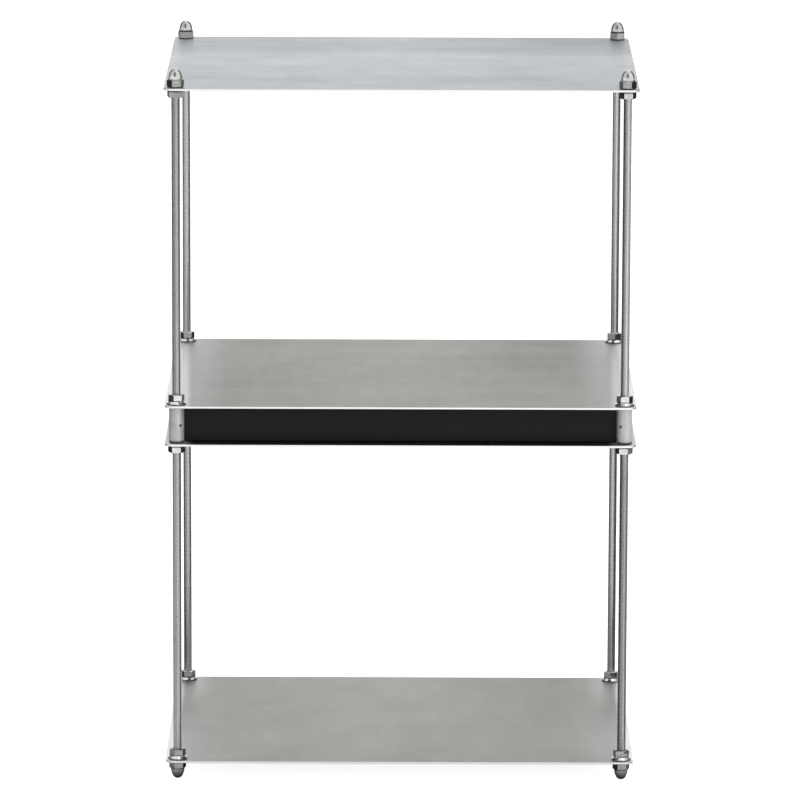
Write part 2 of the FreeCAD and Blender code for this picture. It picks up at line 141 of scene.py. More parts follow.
def rescale(tree, value, from_low, from_high, to_low=0.0, to_high=1.0):
    inputs = {
        "Value": value,
        "From Min": from_low,
        "From Max": from_high,
        "To Min": to_low,
        "To Max": to_high,
    }
    return add_node(tree, "ShaderNodeMapRange", {"clamp": True}, inputs).outputs[0]


def spread_share(tree, share, to_low, to_high):
    """Lets a share from 0 to 1 run from one level to another instead."""
    return rescale(tree, share, 0.0, 1.0, to_low, to_high)


def separate(tree, vector):
    return add_node(tree, "ShaderNodeSeparateXYZ", inputs={0: vector}).outputs


def mix_colours(tree, share, first, second):
    inputs = {0: share, 6: first, 7: second}
    return add_node(tree, "ShaderNodeMix", {"data_type": "RGBA"}, inputs).outputs[2]


white = (1.0, 1.0, 1.0, 1.0)
black = (0.0, 0.0, 0.0, 1.0)
print("mask helpers ready")

# %% [markdown]
# ## Floor
# The floor is a wide white sheet. Its far edge is never in the picture, which gives the plain
# white ground of a catalogue, and it still takes the unit's soft shadow. A sheet lit by lamps
# alone greys with distance. The rays that show the floor to the eye get a share of plain white
# on top, which keeps it white all over, and those that show it in a shiny surface a small one.

# %% Floor
floor_reach = 40.0
floor_colour = (0.9, 0.9, 0.9, 1.0)
lift_for_camera = 0.9
lift_for_mirrors = 0.2
floor_mesh = bpy.data.meshes.new("studio_floor")
floor_corners = [
    (-floor_reach, -floor_reach, 0.0),
    (floor_reach, -floor_reach, 0.0),
    (floor_reach, floor_reach, 0.0),
    (-floor_reach, floor_reach, 0.0),
]
floor_mesh.from_pydata(floor_corners, [], [(0, 1, 2, 3)])
floor = bpy.data.objects.new("studio_floor", floor_mesh)
bpy.context.scene.collection.objects.link(floor)

floor_material = bpy.data.materials.new("studio_white")
floor_material.use_nodes = True
tree = floor_material.node_tree
tree.nodes.clear()
ray = add_node(tree, "ShaderNodeLightPath").outputs
mirror_ray = calculate(tree, "MAXIMUM", ray["Is Glossy Ray"], ray["Is Transmission Ray"])
paper = add_node(tree, "ShaderNodeBsdfDiffuse", inputs={"Color": floor_colour}).outputs[0]
camera_lift = multiply(tree, ray["Is Camera Ray"], lift_for_camera)
mirror_lift = multiply(tree, mirror_ray, lift_for_mirrors)
lift = calculate(tree, "ADD", camera_lift, mirror_lift)
glow = add_node(tree, "ShaderNodeEmission", inputs={"Strength": lift}).outputs[0]
surface = add_node(tree, "ShaderNodeAddShader", inputs={0: paper, 1: glow}).outputs[0]
add_node(tree, "ShaderNodeOutputMaterial", inputs={"Surface": surface})
floor_mesh.materials.append(floor_material)
print("floor", 2.0 * floor_reach, "m wide")

# %% [markdown]
# ## Light
# Bare metal shows what stands around it, so the room matters more than the lamps. Rays that only
# light a surface meet an even soft white. Rays that bounce off metal see the studio: an open white
# ground straight behind the unit, dark corners beside it, a white wall to the right of the camera,
# a greyer one to its left, and a dim place where the camera stands. The direction of a ray is
# turned into an angle that starts straight behind the unit and goes round over its left side and
# its front. A ramp gives the room's level at each angle.

# %% Walls of the room
walls = [
    (-180.0, 0.95),
    (-162.0, 0.95),
    (-150.0, 0.2),
    (-104.0, 0.2),
    (-90.0, 0.70),
    (-34.0, 0.70),
    (-20.0, 0.22),
    (12.0, 0.22),
    (20.0, 1.00),
    (90.0, 1.00),
    (104.0, 0.2),
    (150.0, 0.2),
    (162.0, 0.95),
    (180.0, 0.95),
]
world = bpy.data.worlds.new("studio_world")
bpy.context.scene.world = world
world.use_nodes = True
tree = world.node_tree
tree.nodes.clear()
direction = add_node(tree, "ShaderNodeTexCoord").outputs["Generated"]
way = separate(tree, direction)
round_angle = calculate(tree, "ARCTAN2", way["X"], multiply(tree, way["Y"], -1.0))
round_share = calculate(tree, "ADD", calculate(tree, "DIVIDE", round_angle, 2.0 * math.pi), 0.5)
wall_ramp = add_node(tree, "ShaderNodeValToRGB", inputs={0: round_share})
for index, (degrees, level) in enumerate(walls):
    points = wall_ramp.color_ramp.elements
    share = degrees / 360.0 + 0.5
    point = points[index] if index < 2 else points.new(share)
    point.position = share
    point.color = (level, level, level, 1.0)
print("walls with", len(walls), "levels")

# %% [markdown]
# Low down in front of the unit the room is white too. The ceiling is greyer, with a bright band
# that runs from front to back, right of the middle. The eye itself sees plain white behind the
# unit.

# %% Ceiling and strengths
soft_strength = 0.84
room_strength = 1.1
band_middle = 0.2
band_level = 1.25
ceiling_level = 0.7
towards_front = rescale(tree, way["Y"], -0.3, 0.0, 1.0, 0.0)
near_horizon = rescale(tree, way["Z"], 0.2, 0.32, 1.0, 0.0)
low_front = multiply(tree, towards_front, near_horizon)
level = mix_colours(tree, low_front, wall_ramp.outputs[0], white)
from_band = gap_to(tree, way["X"], band_middle)
band = rescale(tree, from_band, 0.06, 0.16, band_level, ceiling_level)
ceiling = add_node(tree, "ShaderNodeCombineXYZ", inputs={0: band, 1: band, 2: band}).outputs[0]
level = mix_colours(tree, rescale(tree, way["Z"], 0.72, 0.82), level, ceiling)
backgrounds = []
for colour, strength in ((white, soft_strength), (level, room_strength), (white, 1.0)):
    inputs = {"Color": colour, "Strength": strength}
    backgrounds.append(add_node(tree, "ShaderNodeBackground", inputs=inputs).outputs[0])
soft_light, room_light, plain_white = backgrounds
ray = add_node(tree, "ShaderNodeLightPath").outputs
mirror_ray = calculate(tree, "MAXIMUM", ray["Is Glossy Ray"], ray["Is Transmission Ray"])
inputs = {0: mirror_ray, 1: soft_light, 2: room_light}
lit = add_node(tree, "ShaderNodeMixShader", inputs=inputs).outputs[0]
inputs = {0: ray["Is Camera Ray"], 1: lit, 2: plain_white}
seen = add_node(tree, "ShaderNodeMixShader", inputs=inputs).outputs[0]
add_node(tree, "ShaderNodeOutputWorld", inputs={"Surface": seen})
print("world strength", soft_strength)

# %% [markdown]
# Two soft boxes give the shadow its direction. Mirrored rays don't meet them, so that no plate
# flares white when it is looked at from another side.

# %% Lamps
unit_middle = Vector((0.0, 0.0, 0.5))


def soft_box(name, place, width, height, power):
    data = bpy.data.lights.new(name, "AREA")
    data.shape = "RECTANGLE"
    data.size = width
    data.size_y = height
    data.energy = power
    lamp = bpy.data.objects.new(name, data)
    aim = (unit_middle - Vector(place)).to_track_quat("-Z", "Y").to_matrix().to_4x4()
    lamp.matrix_world = Matrix.Translation(Vector(place)) @ aim
    lamp.visible_glossy = False
    bpy.context.scene.collection.objects.link(lamp)
    print(name, "at", place, "gives", power, "W")


soft_box("key_box", place=(2.6, -2.6, 3.4), width=1.8, height=1.8, power=80.0)
soft_box("fill_box", place=(-3.4, -2.6, 2.6), width=1.6, height=2.4, power=14.0)

# %% [markdown]
# Bare metal on a white table looks flat. Sheets of dark cloth beside and behind the unit, a grey
# card on the ground at the left and a pale card stood up at the right give every facet and flank
# a darker or a lighter neighbour. Only mirrored rays meet them: they are left out of the picture,
# cast no shadow and take no light from the unit.


# %% Helpers for cards
def set_up_card(name, grey, faces):
    mesh = bpy.data.meshes.new(name)
    points = [point for face in faces for point in face]
    indices = [tuple(range(4 * index, 4 * index + 4)) for index in range(len(faces))]
    mesh.from_pydata(points, [], indices)
    card = bpy.data.objects.new(name, mesh)
    bpy.context.scene.collection.objects.link(card)
    card.visible_camera = False
    card.visible_diffuse = False
    card.visible_shadow = False
    material = bpy.data.materials.new(name)
    material.use_nodes = True
    tree = material.node_tree
    tree.nodes.clear()
    shader = add_node(tree, "ShaderNodeBsdfDiffuse", inputs={"Color": (grey, grey, grey, 1.0)})
    add_node(tree, "ShaderNodeOutputMaterial", inputs={"Surface": shader.outputs[0]})
    mesh.materials.append(material)
    print(name, "seen by mirrored rays only")


def on_ground(height, *points):
    return [(x, y, height) for x, y in points]


print("card helpers ready")

# %% [markdown]
# Each sheet is a few flat faces. The dark cloth begins close to the unit and runs on far past it.
# The ground in front stays white. Under the unit a grey sheet stands in for the shade beneath
# the bottom plate: painted shade that the feet reflect.

# %% Cloth and cards
far = 9.0
near_x, near_back = 0.36, 0.34
border_right, border_left = -0.18, -0.12
cloth_height, beneath_height = 0.003, 0.002

beside_right = on_ground(
    cloth_height, (near_x, border_right), (far, -5.2), (far, far), (near_x, near_back)
)
beside_left = on_ground(
    cloth_height, (-near_x, near_back), (-far, far), (-far, border_left), (-near_x, border_left)
)
behind = on_ground(
    cloth_height, (near_x, near_back), (far, far), (-far, far), (-near_x, near_back)
)
set_up_card("dark_cloth", 0.03, [beside_right, beside_left, behind])
# Painted shade: a grey sheet under the unit, seen only in mirrored rays.
beneath = on_ground(
    beneath_height, (-near_x, -0.26), (near_x, -0.26), (near_x, near_back), (-near_x, near_back)
)
set_up_card("shade_sheet", 0.24, [beneath])
left_corner, left_far = (-near_x, border_left), (-3.5, -far)
left_front = on_ground(cloth_height, left_corner, (-far, border_left), (-far, -far), left_far)
left_near = on_ground(cloth_height, left_corner, left_far, (-0.3, -1.2), (-0.3, -0.7))
set_up_card("grey_card", 0.58, [left_front, left_near])
card_x, card_front, card_back, card_top = 0.7, -0.6, -0.1, 0.78
upright = [
    (card_x, card_front, 0.0),
    (card_x, card_back, 0.0),
    (card_x, card_back, card_top),
    (card_x, card_front, card_top),
]
set_up_card("white_card", 0.6, [upright])

# %% [markdown]
# ## Surface effects as node groups
# Several finishes share one effect at different sizes. Each effect is a shader node group that
# puts out a value between 0 and 1, so that a material can use it for colour, gloss or height.


# %% Helpers for groups
def start_group(name, inputs):
    tree = bpy.data.node_groups.new(name, "ShaderNodeTree")
    for socket, kind, value in inputs:
        item = tree.interface.new_socket(socket, in_out="INPUT", socket_type=kind)
        if value is not None:
            item.default_value = value
    tree.interface.new_socket("Value", in_out="OUTPUT", socket_type="NodeSocketFloat")
    made = tree.nodes.new("NodeGroupOutput").inputs["Value"]
    return tree, tree.nodes.new("NodeGroupInput").outputs, made


def use_group(tree, group, inputs):
    return add_node(tree, "ShaderNodeGroup", {"node_tree": group}, inputs).outputs[0]


print("group helpers ready")

# %% [markdown]
# The first effect is streaks. A noise is stretched by a line size in metres along each axis: long
# in x and short in y gives the grain of a rolled sheet, short in z alone gives the rings that a
# lathe leaves.

# %% Streaks
inputs = [
    ("Vector", "NodeSocketVector", None),
    ("Line Size", "NodeSocketVector", (0.1, 0.001, 0.001)),
    ("Contrast", "NodeSocketFloat", 0.6),
]
streaks, given, made = start_group("streaks", inputs)
inputs = {0: given["Vector"], 1: given["Line Size"]}
stretched = add_node(streaks, "ShaderNodeVectorMath", {"operation": "DIVIDE"}, inputs).outputs[0]
inputs = {"Vector": stretched, "Scale": 1.0, "Detail": 2.0}
noise = add_node(streaks, "ShaderNodeTexNoise", inputs=inputs).outputs[0]
spread = multiply(streaks, calculate(streaks, "SUBTRACT", noise, 0.5), given["Contrast"])
raised = calculate(streaks, "MULTIPLY_ADD", spread, 2.0, 0.5)
raised.node.use_clamp = True
streaks.links.new(raised, made)
print("group", streaks.name)

# %% [markdown]
# The second effect is clouding: the soft uneven patches that handling, oil and weather leave on
# bare metal and on lacquer.

# %% Clouding
inputs = [
    ("Vector", "NodeSocketVector", None),
    ("Patch Size", "NodeSocketFloat", 0.1),
    ("Edge", "NodeSocketFloat", 0.15),
]
clouding, given, made = start_group("clouding", inputs)
per_metre = calculate(clouding, "DIVIDE", 1.0, given["Patch Size"])
inputs = {"Vector": given["Vector"], "Scale": per_metre, "Detail": 5.0, "Roughness": 0.6}
noise = add_node(clouding, "ShaderNodeTexNoise", inputs=inputs).outputs[0]
low = calculate(clouding, "SUBTRACT", 0.5, given["Edge"])
high = calculate(clouding, "ADD", 0.5, given["Edge"])
clouding.links.new(rescale(clouding, noise, low, high), made)
print("group", clouding.name)

# %% [markdown]
# The third is scratches: rare thin lines in one direction. A noise is stretched very long, and
# only its highest peaks are kept. Using it several times, turned, gives crossing scratches.

# %% Scratches
highest_peaks = 0.85
inputs = [
    ("Vector", "NodeSocketVector", None),
    ("Turn", "NodeSocketFloat", 0.5),
    ("Length", "NodeSocketFloat", 0.03),
    ("Width", "NodeSocketFloat", 0.0004),
    ("Share", "NodeSocketFloat", 0.3),
]
scratches, given, made = start_group("scratches", inputs)
turned = add_node(
    scratches,
    "ShaderNodeVectorRotate",
    {"rotation_type": "Z_AXIS"},
    {"Vector": given["Vector"], "Angle": given["Turn"]},
).outputs[0]
inputs = {0: given["Length"], 1: given["Width"], 2: given["Length"]}
line = add_node(scratches, "ShaderNodeCombineXYZ", inputs=inputs).outputs[0]
options = {"operation": "DIVIDE"}
stretched = add_node(scratches, "ShaderNodeVectorMath", options, {0: turned, 1: line}).outputs[0]
inputs = {"Vector": stretched, "Scale": 1.0, "Detail": 0.0}
noise = add_node(scratches, "ShaderNodeTexNoise", inputs=inputs).outputs[0]
lowered = multiply(scratches, given["Share"], 0.2)
peaks_from = calculate(scratches, "SUBTRACT", highest_peaks, lowered)
peaks_to = calculate(scratches, "ADD", peaks_from, 0.08)
scratches.links.new(rescale(scratches, noise, peaks_from, peaks_to), made)
print("group", scratches.name)

# %% [markdown]
# A fourth effect is a dark line in a seam: partly oil and dust that gather where a nut is
# clamped on a plate, partly painted contact shade. It is 1 at the height of the seam and falls
# to 0 a little way off.

# %% Seam grime and painted shade
inputs = [
    ("Vector", "NodeSocketVector", None),
    ("Seam Height", "NodeSocketFloat", 0.0),
    ("Reach", "NodeSocketFloat", 0.001),
]
seam_grime_and_shade, given, made = start_group("seam_grime_and_shade", inputs)
height = separate(seam_grime_and_shade, given["Vector"])["Z"]
off_seam = gap_to(seam_grime_and_shade, height, given["Seam Height"])
near_seam = calculate(seam_grime_and_shade, "DIVIDE", off_seam, given["Reach"])
seam_grime_and_shade.links.new(rescale(seam_grime_and_shade, near_seam, 0.45, 1.0, 1.0, 0.0), made)
print("group", seam_grime_and_shade.name)

# %% [markdown]
# Every material starts with the same shader and the same coordinates, those of the piece itself.
# Short names for the effects keep the materials below readable.


# %% Helpers for materials
def streaky(tree, spot, line_size, contrast=0.9):
    inputs = {"Vector": spot, "Line Size": line_size, "Contrast": contrast}
    return use_group(tree, streaks, inputs)


def cloudy(tree, spot, patch_size, edge):
    return use_group(tree, clouding, {"Vector": spot, "Patch Size": patch_size, "Edge": edge})


def grime_and_shade_line(tree, spot, seam_height, reach):
    inputs = {"Vector": spot, "Seam Height": seam_height, "Reach": reach}
    return use_group(tree, seam_grime_and_shade, inputs)


def start_material(name):
    material = bpy.data.materials.new(name)
    material.use_nodes = True
    tree = material.node_tree
    tree.nodes.clear()
    shader = add_node(tree, "ShaderNodeBsdfPrincipled")
    add_node(tree, "ShaderNodeOutputMaterial", inputs={"Surface": shader.outputs[0]})
    place = add_node(tree, "ShaderNodeTexCoord").outputs
    return material, tree, shader, place


def towards_back(tree, axes):
    """0 at the front of the unit and 1 at its back, with a soft border between them."""
    return rescale(tree, axes["Y"], -0.1, 0.1)


def connect(tree, shader, sockets):
    for name, value in sockets.items():
        fill(tree, shader.inputs[name], value)


def relief(tree, height, depth, strength=1.0):
    inputs = {"Height": height, "Distance": depth, "Strength": strength}
    return add_node(tree, "ShaderNodeBump", inputs=inputs).outputs[0]


def dress(material, *names):
    for name in names:
        nodes[name].material_slots[0].material = material
    print(material.name, "on", len(names), "solids")


print("material helpers ready")

# %% [markdown]
# ## Rolled aluminium
# The plates are 3 mm sheet with the grain of the mill along their width. One material does for
# all four. It asks at which height a point lies: the upper plate is clean and cool in tone, the
# lower ones are a little warmer and painted darker, as painted shade from the plates above, and
# their grain is rubbed softer the lower they are. The strips are places along the width, in
# metres from the middle of the plate, where painted light and shade lie. The bays are heights
# between the plates, where one look gives way to the next unseen.

# %% Metals and strips of the plates
clean_metal = (0.523, 0.56, 0.593, 1.0)
shaded_warm_metal = (0.376, 0.371, 0.335, 1.0)
sheen_colour = (0.8, 0.84, 0.87, 1.0)
cool_reflection_colour = (0.49, 0.508, 0.522, 1.0)
low_highlight_colour = (0.8, 0.8, 0.79, 1.0)
end_highlight_colour = (0.8, 0.82, 0.84, 1.0)
outer_highlight_colour = (0.97, 0.98, 0.98, 1.0)
fresh_edge = (0.95, 0.96, 0.96, 1.0)
dulled_edge = (0.85, 0.85, 0.84, 1.0)
cloud_grey = (0.2, 0.2, 0.195, 1.0)
patch_grey = (0.2, 0.2, 0.19, 1.0)
strips = {
    "painted_shade_lower": (0.05, 0.2),
    "cool_reflection_share": (0.225, 0.28),
    "low_highlight_share": (0.25, 0.27),
    "clear of deck shade": (0.262, 0.27),
    "end_highlight_share": (0.272, 0.279),
    "outer_highlight_share": (0.286, 0.293),
}
lower_bay, upper_bay = (0.2, 0.4), (0.5, 0.85)
material, tree, shader, place = start_material("rolled_aluminium")
spot = place["Object"]
axes = separate(tree, spot)
from_middle = calculate(tree, "ABSOLUTE", axes["X"])
lower = rescale(tree, axes["Z"], *upper_bay, 1.0, 0.0)
upper = opposite(tree, lower)
above_floor = rescale(tree, axes["Z"], *lower_bay)
near_floor = opposite(tree, above_floor)
in_reach = multiply(tree, above_floor, lower)
print("plates:", len(strips), "strips")

# %% [markdown]
# The upper plate has a painted reflection: a bright lane along its middle. It is darker at the
# back corners, above all at the right one.

# %% The upper plate
reflection_lane_middle, reflection_lane_share = 0.01, 0.18
# The lower plates are painted darker: painted shade from the plates above.
colour = mix_colours(tree, lower, clean_metal, shaded_warm_metal)
# Painted reflection: a bright lane along the middle of the upper plate.
painted_reflection_lane = rescale(tree, gap_to(tree, axes["Y"], reflection_lane_middle), 0.02, 0.14, 1.0, 0.0)
colour = mix_colours(tree, multiply(tree, painted_reflection_lane, upper, reflection_lane_share), colour, white)
# The upper plate darker at the back corners and a little on its right half.
right_corner = rescale(tree, axes["X"], 0.0, 0.2, 0.0, 0.36)
left_corner = rescale(tree, axes["X"], -0.15, 0.0, 0.13, 0.0)
back_corners = calculate(tree, "MAXIMUM", right_corner, left_corner)
at_back = multiply(tree, rescale(tree, axes["Y"], 0.06, 0.12), back_corners)
right_half = rescale(tree, axes["X"], 0.05, 0.15, 0.0, 0.05)
right_half = multiply(tree, right_half, rescale(tree, axes["X"], 0.22, 0.26, 1.0, 0.0))
darker_back_and_right = multiply(tree, calculate(tree, "MAXIMUM", at_back, right_half), upper)
colour = mix_colours(tree, darker_back_and_right, colour, black)
print("upper plate ready")

# %% [markdown]
# Clouds and patches of oxide lie on all plates. Smears from wiping run from front to back. On
# the upper plate long pale streaks along the grain are painted sheen.

# %% Clouds, patches, smears and painted sheen
patches = cloudy(tree, spot, 0.06, 0.25)
clouds = cloudy(tree, spot, 0.35, 0.25)
colour = mix_colours(tree, multiply(tree, clouds, 0.22), colour, cloud_grey)
colour = mix_colours(tree, multiply(tree, patches, 0.14), colour, patch_grey)
smears = streaky(tree, spot, (0.014, 0.09, 0.2), 2.4)
smear_share = rescale(tree, axes["Z"], 0.0, 0.5, 0.11, 0.16)
smear_share = multiply(tree, smear_share, spread_share(tree, lower, 0.35, 1.0))
colour = mix_colours(tree, multiply(tree, smears, smear_share), colour, cloud_grey)
# Painted sheen: long pale streaks along the grain of the upper plate.
sheen_streaks = streaky(tree, spot, (0.12, 0.05, 0.2), 1.8)
colour = mix_colours(tree, multiply(tree, sheen_streaks, upper, 0.16), colour, sheen_colour)
print("oxide and smears ready")

# %% [markdown]
# The lower plates are painted a little lighter towards the front, as painted light, and painted
# darker towards their ends and at the back on the right, as painted shade.

# %% Painted light and shade on the lower plates
# Painted light: the lower plates lighter towards the front.
painted_light_by_floor = rescale(tree, axes["Y"], -0.2, 0.1, 0.065, 0.025)
painted_light_in_reach = rescale(tree, axes["Y"], -0.2, 0.0, 0.05, 0.0)
colour = mix_colours(tree, multiply(tree, painted_light_by_floor, near_floor), colour, white)
colour = mix_colours(tree, multiply(tree, painted_light_in_reach, in_reach), colour, white)
# Painted shade: the lower plates darker towards their ends and at the back on the right.
painted_shade_ends = rescale(tree, from_middle, *strips["painted_shade_lower"], 0.0, 0.11)
painted_shade_right = rescale(tree, axes["X"], 0.02, 0.18, 0.0, 0.17)
painted_shade_right = multiply(tree, painted_shade_right, towards_back(tree, axes))
painted_shade_lower = calculate(tree, "ADD", painted_shade_ends, painted_shade_right)
painted_shade_lower = multiply(tree, painted_shade_lower, lower, spread_share(tree, above_floor, 0.88, 1.15))
colour = mix_colours(tree, painted_shade_lower, colour, black)
print("lower plates ready")

# %% [markdown]
# Towards its ends a lower plate is painted cooler and lighter, and by the floor its back corners
# are painted bright: painted reflections of the bright room. On the plates that are in reach the
# last strip carries a painted highlight, a strip that leans outwards a little to the back and is
# stronger on the left. The outermost strip is a painted highlight too, least on the upper plate.

# %% Painted reflections and highlights at the plate ends
# Painted reflection: cooler, lighter ends of the lower plates.
cool_reflection_share = rescale(tree, from_middle, *strips["cool_reflection_share"])
cool_reflection_depth = rescale(tree, axes["Y"], -0.1, 0.05, 0.8, 0.25)
cool_reflection_share = multiply(tree, cool_reflection_share, calculate(tree, "MAXIMUM", above_floor, cool_reflection_depth), lower)
colour = mix_colours(tree, cool_reflection_share, colour, cool_reflection_colour)
# Painted highlight: bright back corners of the bottom plate.
low_highlight_share = rescale(tree, from_middle, *strips["low_highlight_share"], 0.0, 0.25)
low_highlight_share = multiply(tree, low_highlight_share, rescale(tree, axes["Y"], 0.05, 0.15), near_floor)
colour = mix_colours(tree, low_highlight_share, colour, low_highlight_colour)
# Painted highlight: the last strip of the plates in reach.
leaning = calculate(tree, "SUBTRACT", from_middle, multiply(tree, axes["Y"], 0.03))
end_highlight_share = rescale(tree, leaning, *strips["end_highlight_share"])
end_highlight_share = multiply(tree, end_highlight_share, rescale(tree, axes["X"], -0.01, 0.01, 1.0, 0.6), in_reach)
colour = mix_colours(tree, end_highlight_share, colour, end_highlight_colour)
# Painted highlight: the outermost strip of every plate.
outer_highlight_share = rescale(tree, from_middle, *strips["outer_highlight_share"])
outer_highlight_share = multiply(tree, outer_highlight_share, spread_share(tree, lower, 0.12, 1.0))
colour = mix_colours(tree, outer_highlight_share, colour, outer_highlight_colour)
print("strips ready")

# %% [markdown]
# The grain is fine dark lines and broad pale ones. The deck between the tubes is painted dark,
# as painted shade on the strip that shows under the middle plate in front of the drawer.

# %% Grain and painted shade on the deck
deck_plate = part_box("drawer_deck")
grain = rescale(tree, axes["Z"], 0.0, 0.9, 0.12, 0.95)
fine = streaky(tree, spot, (0.12, 0.0012, 0.01), grain)
broad = streaky(tree, spot, (0.9, 0.035, 0.2), grain)
colour = mix_colours(tree, multiply(tree, broad, 0.12), colour, white)
colour = mix_colours(tree, multiply(tree, fine, 0.08), colour, black)
# Painted shade: the deck's top darkened between the tubes.
off_deck = gap_to(tree, axes["Z"], deck_plate[1].z)
deck_shade = rescale(tree, off_deck, 0.001, 0.002, 1.0, 0.0)
deck_shade = multiply(tree, deck_shade, rescale(tree, from_middle, *strips["clear of deck shade"], 0.7, 0.0))
colour = mix_colours(tree, deck_shade, colour, black)
print("grain and dust ready")

# %% [markdown]
# The sheared edges are bright metal, freshest above the floor. The side of a plate is found by
# its normal, which points sideways there. Rare crossing scratches catch the light.

# %% Edges, scratches and gloss of the plates
scratch_turns = (0.5, 1.9)
marks = []
for turn in scratch_turns:
    inputs = {"Vector": spot, "Turn": turn, "Length": 0.02, "Width": 0.0003, "Share": 0.2}
    marks.append(use_group(tree, scratches, inputs))
scratched = calculate(tree, "MAXIMUM", *marks)
flatness = calculate(tree, "ABSOLUTE", separate(tree, place["Normal"])["Z"])
sheared = rescale(tree, flatness, 0.35, 0.75, 1.0, 0.0)
edge_metal = mix_colours(tree, above_floor, dulled_edge, fresh_edge)
colour = mix_colours(tree, sheared, colour, edge_metal)
gloss = rescale(tree, calculate(tree, "ADD", patches, fine), 0.0, 2.0, 0.38, 0.5)
gloss = calculate(tree, "ADD", gloss, multiply(tree, scratched, 0.12))
skin = calculate(tree, "SUBTRACT", fine, scratched)
connect(tree, shader, {"Base Color": colour, "Metallic": 1.0, "Roughness": gloss})
connect(tree, shader, {"Normal": relief(tree, skin, 0.00002, 0.5)})
dress(material, "top_shelf", "middle_shelf", "drawer_deck", "bottom_shelf")

# %% [markdown]
# ## Bright plated nuts
# The nuts are turned and pressed steel with a thin bright plating. Their facets are nearly
# mirrors, with faint lathe rings. Below the top plate the nuts at the back are painted lighter,
# as painted light. The hexes on top and the nuts near the floor are duller, most of all in front,
# and small dark specks lie on them and on all nuts at the back.

# %% Plating of the nuts
top_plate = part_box("top_shelf")
middle_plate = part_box("middle_shelf")
bottom_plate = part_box("bottom_shelf")
cap_hex_height = 0.01
plating = (0.72, 0.72, 0.71, 1.0)
thin_plating = (0.54, 0.54, 0.52, 1.0)
painted_light_plating = (1.0, 1.0, 0.98, 1.0)
dull_plating = (0.22, 0.22, 0.215, 1.0)
speck_colour = (0.12, 0.12, 0.115, 1.0)
material, tree, shader, place = start_material("bright_nut_steel")
spot = place["Object"]
axes = separate(tree, spot)
height = axes["Z"]
at_back = towards_back(tree, axes)
at_front = opposite(tree, at_back)
hex_middle = top_plate[1].z + 0.4 * cap_hex_height
on_top = rescale(tree, gap_to(tree, height, hex_middle), 0.006, 0.007, 1.0, 0.0)
low_nut_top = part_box("bottom_flange_nut_front_left")[1].z
near_floor = rescale(tree, height, low_nut_top + 0.001, low_nut_top + 0.007, 1.0, 0.0)
rings = streaky(tree, spot, (0.02, 0.02, 0.0004), 0.8)
patches = cloudy(tree, spot, 0.006, 0.2)
colour = mix_colours(tree, patches, plating, thin_plating)
# Painted light: the nuts at the back below the top plate are lightened.
below_top = rescale(tree, height, middle_plate[1].z + 0.02, top_plate[0].z - 0.02, 0.8, 0.0)
colour = mix_colours(tree, multiply(tree, at_back, below_top), colour, painted_light_plating)
dull_high = multiply(tree, on_top, spread_share(tree, at_back, 0.4, 0.05))
dull_low = multiply(tree, near_floor, at_front, 0.55)
duller = calculate(tree, "ADD", dull_high, dull_low)
colour = mix_colours(tree, duller, colour, dull_plating)
handled = calculate(tree, "MAXIMUM", calculate(tree, "MAXIMUM", on_top, near_floor), at_back)
specks = cloudy(tree, spot, 0.0022, 0.12)
specks = multiply(tree, specks, handled, spread_share(tree, at_back, 0.5, 0.3))
colour = mix_colours(tree, specks, colour, speck_colour)
print("plating ready")

# %% [markdown]
# The pressed flanges are painted bright, as a painted highlight. The domes that stand on the
# floor are painted light at the top and dark at their tips, as painted sheen and painted shade
# near the floor, and their hexes are grey.

# %% Flanges and feet
flange_highlight = (0.97, 0.97, 0.96, 1.0)
foot_hex = (0.34, 0.34, 0.325, 1.0)
foot_dome_sheen = (0.9, 0.9, 0.87, 1.0)
foot_tip_shade = (0.09, 0.09, 0.086, 1.0)
flange_height = 0.005
dome_top = 0.0135
# Painted highlight: bright flanges.
for plate in (middle_plate, bottom_plate):
    off_flange = gap_to(tree, height, plate[1].z + flange_height / 2.0)
    on_flange = rescale(tree, off_flange, 0.0021, 0.0026, 1.0, 0.0)
    colour = mix_colours(tree, on_flange, colour, flange_highlight)
# Painted sheen and shade: each foot light at the top of its dome and dark at its tip.
on_foot = rescale(tree, height, bottom_plate[0].z, bottom_plate[1].z, 1.0, 0.0)
on_dome = rescale(tree, height, dome_top - 0.001, dome_top, 1.0, 0.0)
foot_light_and_shade = mix_colours(tree, on_dome, foot_hex, foot_dome_sheen)
to_tip = rescale(tree, height, 0.002, dome_top - 0.001, 1.0, 0.0)
foot_light_and_shade = mix_colours(tree, to_tip, foot_light_and_shade, foot_tip_shade)
colour = mix_colours(tree, on_foot, colour, foot_light_and_shade)
print("flanges and feet ready")

# %% [markdown]
# Grime and painted contact shade draw a line where a nut meets its plate or its own flange, and
# where a foot's dome begins. Around the domes on top the line lies only at the back.

# %% Seams of the nuts
corners = ["front_left", "front_right", "back_left", "back_right"]
grime_and_shade_colour = (0.03, 0.03, 0.028, 1.0)
seams = {
    "cap nut on its plate": (top_plate[1].z, 0.0018),
    "flange of a nut on the middle plate": (middle_plate[1].z + flange_height, 0.0009),
    "flange of a nut on the bottom plate": (bottom_plate[1].z + flange_height, 0.0009),
    "under the top plate": (top_plate[0].z, 0.0034),
    "on the middle plate": (middle_plate[1].z, 0.0022),
    "under the deck": (deck_plate[0].z, 0.0034),
    "on the bottom plate": (bottom_plate[1].z, 0.0022),
    "under the bottom plate": (bottom_plate[0].z, 0.0024),
    "foot dome": (dome_top, 0.0009),
}
